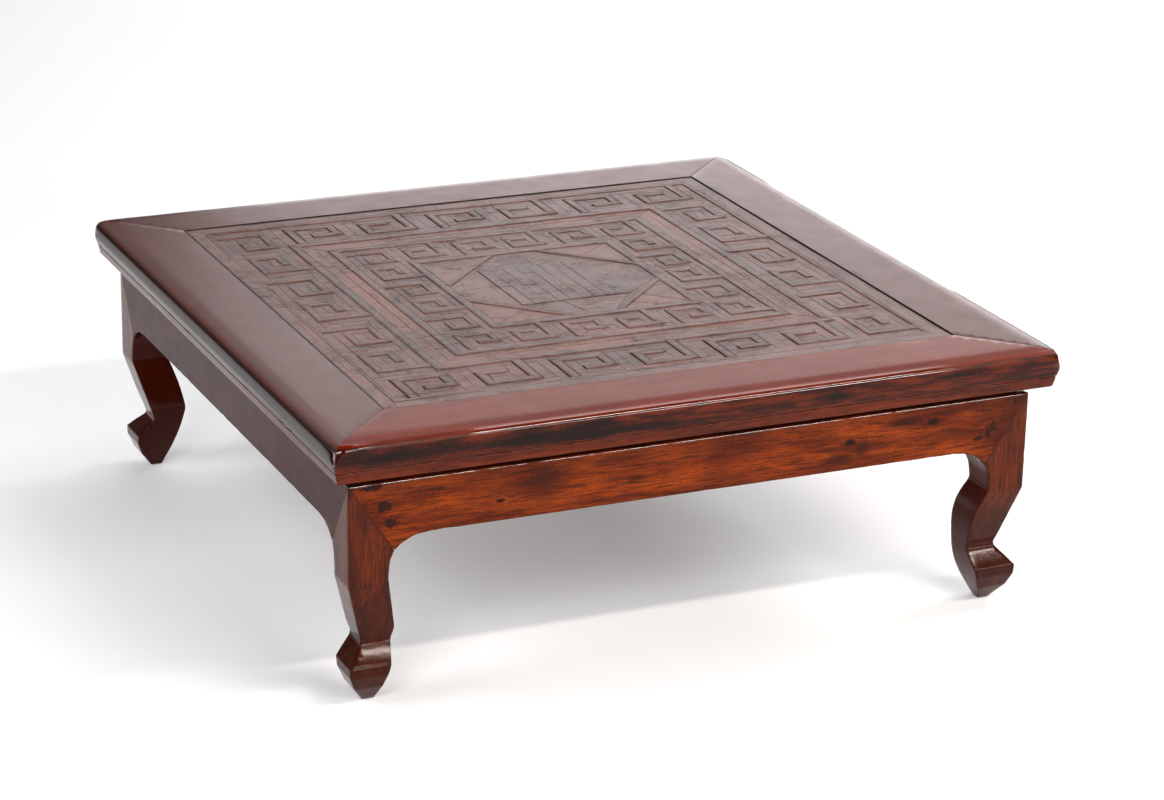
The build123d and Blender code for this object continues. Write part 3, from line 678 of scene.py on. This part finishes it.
def worn_copy(node, name, finish, is_arris, rounding, spacing, calf=(0.0, 0.0, 0.0)):
    """A solid with softened arrises and a hand-worked, slightly uneven skin.

    Its points lie at most the spacing apart. They hold three values for the finishes: arris is the
    distance from the nearest softened arris, inner_shade is 1 on faces turned to the middle of the table,
    where the leg finish paints shade on them, and ledge is 1 on top of a toe.
    """
    bm = bmesh.new()
    bm.from_mesh(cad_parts[node].data)
    bmesh.ops.remove_doubles(bm, verts=bm.verts[:], dist=merge_distance)
    bmesh.ops.dissolve_limit(bm, angle_limit=flat_angle, verts=bm.verts[:], edges=bm.edges[:])
    arrises = [edge for edge in bm.edges if edge.calc_face_angle(0) > arris_angle and is_arris(edge)]
    marks = points_along([(edge.verts[0].co.copy(), edge.verts[1].co.copy()) for edge in arrises])
    soften(bm, arrises, rounding, 3)
    low = [min(vert.co[axis] for vert in bm.verts) for axis in range(3)]
    high = [max(vert.co[axis] for vert in bm.verts) for axis in range(3)]
    for axis in range(3):
        count = math.floor((high[axis] - low[axis]) / spacing[axis])
        for index in range(1, count + 1):
            slice_across(bm, axis, low[axis] + (high[axis] - low[axis]) * index / (count + 1))
    for axis in (0, 1):
        slice_across(bm, axis, opening + support)
        slice_across(bm, axis, -opening - support)
    bm.normal_update()
    arris = bm.verts.layers.float.new("arris")
    inner_shade = bm.verts.layers.float.new("inner_shade")
    ledge = bm.verts.layers.float.new("ledge")
    moves = []
    for vert in bm.verts:
        far = marks.find(vert.co)[2]
        vert[arris] = far
        facing = [vert.normal[axis] * math.copysign(1, vert.co[axis]) for axis in (0, 1)]
        # Marks the faces turned to the middle of the table, where the leg finish paints shade.
        vert[inner_shade] = 1.0 if min(facing) < -0.5 else 0.0
        vert[ledge] = 1.0 if vert.normal.z > 0.4 and vert.co.z < toe_top else 0.0
        wave = 0.5 + 0.5 * noise.noise(vert.co * wave_scale)
        knock = max(0.0, noise.noise(vert.co * nick_scale + nick_shift) - nick_rareness)
        nick = knock * max(0.0, 1 - far / nick_reach)
        moves.append(vert.normal * -(wave_depth * wave + nick_depth * nick))
    for vert, move in zip(bm.verts, moves):
        vert.co += move
        wear_corner(vert.co)
        swell_calf(vert.co, *calf)
    bm.normal_update()
    for face in bm.faces:
        face.smooth = True
    for edge in bm.edges:
        edge.smooth = edge.calc_face_angle(0) < smooth_angle
    put(bm, name, [node], finish)


def is_frame_arris(edge):
    """The opening's rim, the mitre seams on the outside, and the lower outer arris."""
    one, other = edge.verts[0].co, edge.verts[1].co
    on_top = min(one.z, other.z) > top - close / 2
    reach = [max(abs(point.x), abs(point.y)) for point in (one, other)]
    rim = on_top and max(reach) < opening + close
    seam = all(abs(abs(point.x) - abs(point.y)) < close for point in (one, other))
    skin = on_top or min(reach) > half - edge_depth
    foot = max(one.z, other.z) < underside + close / 2 and min(reach) > half - foot_depth
    return rim or (seam and skin) or foot


def is_apron_arris(edge):
    """The level rims of the apron's face, and the low edges between its two ends."""
    one, other = edge.verts[0].co, edge.verts[1].co
    outer = all(max(abs(point.x), abs(point.y)) > apron_face - close for point in (one, other))
    level = abs(one.z - other.z) < close
    low = max(one.z, other.z) < apron_bottom + close * 2
    return (outer and level) or (low and (one - other).length < longest_low_edge)


def is_leg_arris(edge):
    """The outer corner above the knee, and every edge below the apron."""
    one, other = edge.verts[0].co, edge.verts[1].co
    low = max(one.z, other.z) < bracket_foot + close
    outer = [min(abs(point.x), abs(point.y)) > apron_face - close for point in (one, other)]
    return low or (all(outer) and min(one.z, other.z) > knee_height)


# Each leg was cut by hand: how far its calf swells over the whole, above its widest point and below.
calf_swells = {
    "front_left": (0.0, 0.0, 0.0005),
    "front_right": (0.0, 0.004, 0.0055),
    "back_right": (0.0015, 0.002, 0.002),
    "back_left": (0.0038, 0.001, 0.0015),
}


def dress(node, finish):
    """Gives a solid that is shown as it is its finish."""
    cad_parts[node].material_slots[0].material = finish


side_names = ("front", "right", "back", "left")
for side in side_names:
    worn_copy(
        f"top_frame_{side}", f"frame_member_{side}", frame_finishes[side],
        is_frame_arris, rounding=0.0006, spacing=(0.012, 0.012, 0.05),
    )
    worn_copy(
        f"apron_{side}", f"apron_board_{side}", apron_finishes[side],
        is_apron_arris, rounding=0.0012, spacing=(0.012, 0.012, 0.009),
    )
    dress(f"waist_{side}", waist_shade_finish)

for corner, swells in calf_swells.items():
    worn_copy(
        f"leg_{corner}", f"post_{corner}", leg_finish,
        is_leg_arris, rounding=0.0016, spacing=(0.008, 0.008, 0.006), calf=swells,
    )

for number in range(1, 6):
    dress(f"panel_board_{number}", board_finish)
for side in ("left", "right"):
    dress(f"panel_brace_{side}", brace_finish)
for node in ("frame_joint_pins", "apron_joint_pins"):
    dress(node, pin_finish)


# ---- Parquetry -----------------------------------------------

chance = random.Random(41)
lean_limit = 0.0016
rim_width = 0.00025
rim_depth = 0.00012
rim_angle = math.radians(40)
grain_shift = 6
shortest_end = 0.6
shortest_cut = 3
cut_chance = 0.3

dark_strip = ((0.072, 0.035, 0.031), (0.062, 0.034, 0.031), (0.084, 0.037, 0.031))
pale_string = ((0.122, 0.058, 0.046), (0.112, 0.053, 0.043), (0.132, 0.061, 0.048))
ground_wood = ((0.102, 0.041, 0.034), (0.094, 0.039, 0.034), (0.112, 0.042, 0.033), (0.082, 0.038, 0.034))
orange_wood = ((0.140, 0.044, 0.028), (0.126, 0.042, 0.028), (0.118, 0.043, 0.032))
border_wood = ((0.096, 0.041, 0.036), (0.088, 0.039, 0.036))


def rectangle(low_x, low_y, high_x, high_y):
    return [Vector(point) for point in ((low_x, low_y), (high_x, low_y), (high_x, high_y), (low_x, high_y))]


def drawn_in(outline, gap):
    """A convex outline, counter-clockwise, with each side moved in by the gap."""
    count = len(outline)
    points = []
    for index in range(count):
        before = (outline[index] - outline[index - 1]).normalized()
        after = (outline[(index + 1) % count] - outline[index]).normalized()
        inward_before = Vector((-before.y, before.x))
        inward_after = Vector((-after.y, after.x))
        share = gap / (1 + inward_before.dot(inward_after))
        points.append(outline[index] + (inward_before + inward_after) * share)
    return points


class Side:
    """One side of the panel. Its own x runs along the side, and its own y towards the far side."""

    def __init__(self, name, quarter_turns):
        self.name = name
        self.angle = math.radians(90 * quarter_turns)
        self.turn = Matrix.Rotation(self.angle, 2)

    def place(self, x, y):
        return self.turn @ Vector((x, y))


sides = [Side(name, index) for index, name in enumerate(side_names)]


class Parquetry:
    """Thin pieces of wood glued side by side on the boards, kept in one mesh."""

    def __init__(self):
        self.bm = bmesh.new()
        self.rise = self.bm.verts.layers.float.new("rise")
        self.laid = []

    def lay(self, outline, face_height, woods, grain, unevenness=0.00018):
        """One piece: its outline, its face's height, the woods it may be cut from, its grain's angle."""
        pairs = zip(outline, outline[1:] + outline[:1])
        if sum(one.x * other.y - other.x * one.y for one, other in pairs) < 0:
            outline = outline[::-1]
        outline = drawn_in(outline, joint)
        lean = Vector((chance.uniform(-1, 1), chance.uniform(-1, 1))) * lean_limit
        middle = sum(outline, Vector((0, 0))) / len(outline)
        level = face_height - board_top - chance.uniform(0, unevenness)
        corners = []
        for point in outline:
            corner = self.bm.verts.new((point.x, point.y, board_top))
            corner[self.rise] = min(level + lean.dot(point - middle), level + 0.0001)
            corners.append(corner)
        self.bm.faces.new(corners)
        wood = chance.choice(woods)
        tone = chance.uniform(0.88, 1.12)
        warmth = chance.uniform(-0.06, 0.06)
        shade = (wood[0] * tone * (1 + warmth), wood[1] * tone, wood[2] * tone * (1 - warmth))
        start = Vector((chance.uniform(0, grain_shift), chance.uniform(0, grain_shift)))
        self.laid.append((corners[0], shade, grain, start, board_top + level))

    def finished(self, name, node):
        """Gives the outlines their thickness, rims and colours, and puts them in a solid's place."""
        bm = self.bm
        lifted = bmesh.ops.extrude_face_region(bm, geom=bm.faces[:])["geom"]
        for item in lifted:
            if isinstance(item, bmesh.types.BMVert):
                item.co.z = board_top + item[self.rise]
        rims = [edge for item in lifted if isinstance(item, bmesh.types.BMFace) for edge in item.edges]
        soften(bm, rims, rim_width, 2)
        bmesh.ops.recalc_face_normals(bm, faces=bm.faces[:])
        bm.faces.index_update()
        grain_map = bm.loops.layers.uv.new("grain")
        own = bm.loops.layers.float_color.new("piece")
        for corner, shade, grain, start, level in self.laid:
            along = Vector((math.cos(grain), math.sin(grain)))
            across = Vector((-along.y, along.x))
            waiting = [corner]
            seen = {corner}
            faces = {}
            while waiting:
                for face in waiting.pop().link_faces:
                    faces[face.index] = face
                    for vert in face.verts:
                        if vert not in seen:
                            seen.add(vert)
                            waiting.append(vert)
            for face in faces.values():
                for loop in face.loops:
                    flat = loop.vert.co.xy
                    height = loop.vert.co.z
                    loop[grain_map].uv = (flat.dot(along) + start.x, flat.dot(across) + start.y + height)
                    loop[own] = (*shade, 1.0 if height < level - rim_depth else 0.0)
        for edge in bm.edges:
            edge.smooth = edge.calc_face_angle(0) < rim_angle
        bm.normal_update()
        for face in bm.faces:
            face.smooth = face.normal.z < 0.999
        put(bm, name, [node], inlay_finish)


def ring_pieces(parquetry, side, outer, inner, level, woods, lengths):
    """One side of a ring, mitred at both ends and made up of several lengths."""
    cuts = [(-outer, -inner)]
    reached = -inner + chance.uniform(*lengths)
    while reached < inner - lengths[0] * shortest_end:
        cuts.append((reached, reached))
        reached += chance.uniform(*lengths)
    cuts.append((outer, inner))
    for start, end in zip(cuts, cuts[1:]):
        outline = [(start[0], -outer), (end[0], -outer), (end[1], -inner), (start[1], -inner)]
        parquetry.lay([side.place(*point) for point in outline], level, woods, side.angle)


def strung(start, end, string):
    """Across a dark line between two pale strings: where each strip starts and ends, and its woods."""
    return (
        (start, start + string, pale_string),
        (start + string, end - string, dark_strip),
        (end - string, end, pale_string),
    )


def strung_ring(parquetry, side, outer, width, level):
    """One side of a ring that is a dark line between two pale strings."""
    for near, far, woods in strung(0, width, string_width):
        lengths = (0.08, 0.2) if woods is dark_strip else (0.2, 0.4)
        ring_pieces(parquetry, side, outer - near, outer - far, level, woods, lengths)


border_inner = panel_half - border_strips * strip_width
outer_fret_inner = border_inner - outer_fret_strips * strip_width
outer_line_inner = outer_fret_inner - line_strips * strip_width
plain_band_inner = outer_line_inner - plain_band_strips * strip_width
middle_line_inner = plain_band_inner - line_strips * strip_width
inner_fret_inner = middle_line_inner - inner_fret_strips * strip_width
centre_half = inner_fret_inner - line_strips * strip_width

for side in sides:
    strips = Parquetry()
    for outer, inner, woods, lengths in (
        (panel_half, border_inner + border_line, border_wood, (0.2, 0.36)),
        (border_inner + border_line, border_inner + border_string, dark_strip, (0.1, 0.3)),
        (border_inner + border_string, border_inner, pale_string, (0.2, 0.4)),
    ):
        ring_pieces(strips, side, outer, inner, inlay_top, woods, lengths)
    strips.finished(f"border_strip_{side.name}", f"inlay_border_{side.name}")

for node, outer in (
    ("outer_fret_line", outer_fret_inner),
    ("middle_fret_line", plain_band_inner),
    ("inner_fret_line", inner_fret_inner),
):
    strips = Parquetry()
    for side in sides:
        strung_ring(strips, side, outer, line_strips * strip_width, inlay_top)
    strips.finished(f"strung_{node}", node)

strips = Parquetry()
for side in sides:
    middle = (outer_line_inner + plain_band_inner) / 2
    ring_pieces(strips, side, outer_line_inner, middle, ground_top, orange_wood, (0.05, 0.16))
    ring_pieces(strips, side, middle, plain_band_inner, ground_top, orange_wood, (0.05, 0.16))
strips.finished("plain_band_pieces", "plain_band")


# One key is a square spiral, given by the cells at its bends as (column along the band, row from
# the band's inner edge). Every second key is turned half round.
key_bends = ((1, 6), (1, 1), (5, 1), (5, 4), (3, 4))


def key_cells(turned):
    return [(cells - 1 - column, cells - 1 - row) if turned else (column, row) for column, row in key_bends]


class Fret:
    """One side of a fret band, divided into cells."""

    def __init__(self, side, outer, width, pitch):
        self.side = side
        run = 2 * outer - width
        self.keys = max(1, round(run / pitch))
        self.column = run / self.keys / cells
        self.row = width / cells
        self.start = -outer
        self.inner_edge = width - outer

    def place(self, column, row):
        """A point given in cells, fractions included."""
        return self.side.place(self.start + self.column * column, self.inner_edge - self.row * row)

    def centre(self, key, cell):
        return self.place(key * cells + cell[0] + 0.5, cell[1] + 0.5)

    def taken(self):
        """The cells that the keys cover."""
        found = set()
        for key in range(self.keys):
            bends = key_cells(key % 2)
            for one, other in zip(bends, bends[1:]):
                for column in range(min(one[0], other[0]), max(one[0], other[0]) + 1):
                    for row in range(min(one[1], other[1]), max(one[1], other[1]) + 1):
                        found.add((key * cells + column, row))
        return found


def lane_outlines(path, near, far, overrun):
    """Mitred outlines of the strips that follow a square path, between two offsets to its left."""
    ways = [(other - one).normalized() for one, other in zip(path, path[1:])]
    lefts = [Vector((-way.y, way.x)) for way in ways]

    def corner(index, offset):
        if index == 0:
            return path[0] - ways[0] * overrun + lefts[0] * offset
        if index == len(ways):
            return path[-1] + ways[-1] * overrun + lefts[-1] * offset
        return path[index] + (lefts[index - 1] + lefts[index]) * offset

    for index, way in enumerate(ways):
        near_side = [corner(index, near), corner(index + 1, near)]
        far_side = [corner(index + 1, far), corner(index, far)]
        yield near_side + far_side, way


def lay_strung_path(parquetry, path, width, level):
    """Strips along a path: a dark core between two pale strings."""
    edge = width / 2
    for near, far, woods in strung(-edge, edge, string_width):
        for outline, way in lane_outlines(path, near, far, edge):
            parquetry.lay(outline, level, woods, math.atan2(way.y, way.x))


def lay_ground(parquetry, fret):
    """Short strips that fill the cells between the keys, each along the longer free run."""
    taken = fret.taken()
    columns = fret.keys * cells
    joined = set()      # cells whose strip runs on into the next cell

    def is_free(column, row):
        return 0 <= column < columns and 0 <= row < cells and (column, row) not in taken

    def reach(column, row, step_column, step_row):
        count = 0
        while is_free(column + step_column * (count + 1), row + step_row * (count + 1)):
            count += 1
        return count

    def lengthwise(column, row):
        flat = reach(column, row, 1, 0) + reach(column, row, -1, 0)
        upright = reach(column, row, 0, 1) + reach(column, row, 0, -1)
        return flat >= upright

    for column in range(columns):
        for row in range(cells):
            if not is_free(column, row):
                continue
            flat = lengthwise(column, row)
            step_column, step_row = (1, 0) if flat else (0, 1)
            before = (column - step_column, row - step_row)
            if before in joined and lengthwise(*before) == flat:
                continue
            length = 1
            while is_free(column + step_column * length, row + step_row * length):
                if lengthwise(column + step_column * length, row + step_row * length) != flat:
                    break
                if length >= shortest_cut and chance.random() < cut_chance:
                    break
                length += 1
            for index in range(length - 1):
                joined.add((column + step_column * index, row + step_row * index))
            far_column = column + (length if flat else 1)
            far_row = row + (1 if flat else length)
            outline = [fret.place(*corner) for corner in rectangle(column, row, far_column, far_row)]
            angle = fret.side.angle + (0 if flat else math.pi / 2)
            parquetry.lay(outline, ground_top, ground_wood, angle, 0.0003)


for name, outer, width, pitch in (
    ("outer_fret", border_inner, outer_fret_strips * strip_width, outer_key_strips * strip_width),
    ("inner_fret", middle_line_inner, inner_fret_strips * strip_width, inner_key_strips * strip_width),
):
    for side in sides:
        fret = Fret(side, outer, width, pitch)
        keys = Parquetry()
        for key in range(fret.keys):
            path = [fret.centre(key, cell) for cell in key_cells(key % 2)]
            lay_strung_path(keys, path, fret.row, inlay_top)
        keys.finished(f"{name}_strips_{side.name}", f"{name}_keys_{side.name}")
        ground = Parquetry()
        lay_ground(ground, fret)
        ground.finished(f"{name}_fill_{side.name}", f"{name}_ground_{side.name}")

# The middle square: corner triangles, diagonal strips, wood round the slats, and the slats.
corner_cut = 0.69 * centre_half
diagonal_run = diagonal_width * math.sqrt(2)
string_run = diagonal_string * math.sqrt(2)
slat_half = 0.57 * centre_half
quarters = ((1, 1), (-1, 1), (-1, -1), (1, -1))


def corner_point(quarter, along_x, along_y):
    """A point of the middle square, by its distances from the square's corner in one quarter."""
    across, forward = quarter
    return Vector((across * (centre_half - along_x), forward * (centre_half - along_y)))


triangles = Parquetry()
diagonals = Parquetry()
around = Parquetry()
inner_run = corner_cut + diagonal_run
for quarter in quarters:
    near = corner_point(quarter, 0, 0)
    flat_end = corner_point(quarter, corner_cut, 0)
    steep_end = corner_point(quarter, 0, corner_cut)
    cut = chance.uniform(0.4, 0.6)
    middle = flat_end.lerp(steep_end, cut)
    triangles.lay([near, flat_end, middle], ground_top, orange_wood, 0.0)
    triangles.lay([near, middle, steep_end], ground_top, orange_wood, 0.0)
    slope = math.atan2(steep_end.y - flat_end.y, steep_end.x - flat_end.x)
    for start_run, end_run, woods in strung(corner_cut, inner_run, string_run):
        outline = [
            corner_point(quarter, start_run, 0),
            corner_point(quarter, end_run, 0),
            corner_point(quarter, 0, end_run),
            corner_point(quarter, 0, start_run),
        ]
        diagonals.lay(outline, inlay_top, woods, slope)
    slat_corner = Vector(quarter) * slat_half
    flat_inner = corner_point(quarter, inner_run, 0)
    steep_inner = corner_point(quarter, 0, inner_run)
    around.lay([slat_corner, flat_inner, steep_inner], ground_top, ground_wood, slope)
outer_reach = centre_half - inner_run
for side in sides:
    middle = chance.uniform(-0.3, 0.3)
    foot = middle * slat_half
    head = middle * outer_reach
    for start, end, high_start, high_end in (
        (-slat_half, foot, -outer_reach, head),
        (foot, slat_half, head, outer_reach),
    ):
        outline = [(start, slat_half), (end, slat_half), (high_end, centre_half), (high_start, centre_half)]
        around.lay([side.place(*point) for point in outline], ground_top, ground_wood, side.angle)
triangles.finished("medallion_triangles", "medallion_corners")
diagonals.finished("medallion_diagonal_strips", "medallion_diagonals")
around.finished("medallion_fill", "medallion_ground")

slats = Parquetry()
slat_pitch = 2 * slat_half / slat_count
for index in range(slat_count):
    low_x = -slat_half + index * slat_pitch
    cut = chance.uniform(-0.6, 0.6) * slat_half
    for low_y, high_y in ((-slat_half, cut), (cut, slat_half)):
        outline = rectangle(low_x, low_y, low_x + slat_pitch, high_y)
        slats.lay(outline, inlay_top, dark_strip + ground_wood[3:], math.pi / 2, 0.0004)
slats.finished("medallion_slat_pieces", "medallion_slats")


# ---- Studio --------------------------------------------------

def floor_finish():
    finish = Finish("pale_floor")
    x, y, z = finish.place()
    faint = finish.noise(finish.vector(x, y, z), 1.5)
    shade = finish.mix(faint, colour(212, 212, 214), colour(216, 216, 217))
    return finish.shade(Base_Color=shade, Roughness=0.9, Emission_Color=shade, Emission_Strength=0.25)


def make_floor():
    bm = bmesh.new()
    bmesh.ops.create_grid(bm, x_segments=4, y_segments=4, size=14)
    floor = skinned(bm, "studio_floor", floor_finish())


def softbox(name, place, aim, width, height, power, tint=(1, 1, 1)):
    """A flat lamp at a place, turned to its aim."""
    lamp = bpy.data.lights.new(name, "AREA")
    lamp.shape = "RECTANGLE"
    lamp.size = width
    lamp.size_y = height
    lamp.energy = power
    lamp.color = tint
    holder = shown(name, lamp)
    holder.location = place
    holder.rotation_euler = (Vector(aim) - Vector(place)).to_track_quat("-Z", "Y").to_euler()


def set_camera():
    """The camera looks down from the front left, a little rolled."""
    azimuth = math.radians(-24.252)
    elevation = math.radians(19.744)
    roll = math.radians(1.095)
    distance = 4.0845
    aim = Vector((0.05213, 0.02963, 0.14167))
    back = Vector((
        math.sin(azimuth) * math.cos(elevation),
        -math.cos(azimuth) * math.cos(elevation),
        math.sin(elevation),
    ))
    right = (-back).cross(Vector((0, 0, 1))).normalized()
    up = right.cross(-back)
    rolled_right = right * math.cos(roll) + up * math.sin(roll)
    rolled_up = up * math.cos(roll) - right * math.sin(roll)
    lens = bpy.data.cameras.new("camera")
    lens.sensor_width = 36
    lens.lens = 106.755
    lens.clip_end = 100
    camera = shown("camera", lens)
    turned = Matrix((rolled_right, rolled_up, back)).transposed().to_4x4()
    camera.matrix_world = Matrix.Translation(aim + back * distance) @ turned
    bpy.context.scene.camera = camera


make_floor()

# Name, place, aim, width, height and power in watts.
softbox("key_strip", (1.2, -1.93, 2.347), (1.2, -0.4, 0.1), 1.7, 0.14, 45, (1.0, 0.93, 0.84))
softbox("front_strip", (1.4, -3.4, 1.25), (0.2, -0.4, 0.2), 2.2, 0.25, 46)
softbox("front_box", (0.3, -3.2, 2.3), (0, 0, 0.1), 1.6, 1.2, 24)
softbox("front_left_box", (-2.2, -2.6, 2.3), (0, 0, 0.1), 1.6, 1.2, 66)
softbox("left_box", (-3.2, 0.0, 2.0), (0, 0, 0.1), 1.6, 1.2, 46)
softbox("right_box", (3.0, 0.7, 2.4), (0, 0, 0.1), 1.6, 1.2, 70)
softbox("back_card", (2.7, 3.4, 0.85), (0.3, 0, 0.3), 4.0, 1.5, 55)
softbox("high_card", (1.2, 3.7, 2.6), (0, 0, 0.3), 4.0, 2.0, 16)
softbox("top_card", (1.2, 2.6, 4.2), (0, 0, 0.3), 3.6, 1.8, 46)

world = bpy.data.worlds.new("studio")
world.use_nodes = True
ambient = world.node_tree.nodes["Background"].inputs
ambient["Color"].default_value = (0.95, 0.96, 1.0, 1.0)
ambient["Strength"].default_value = 0.02
bpy.context.scene.world = world
bpy.context.scene.view_settings.view_transform = "Standard"
bpy.context.scene.view_settings.look = "Medium High Contrast"

set_camera()
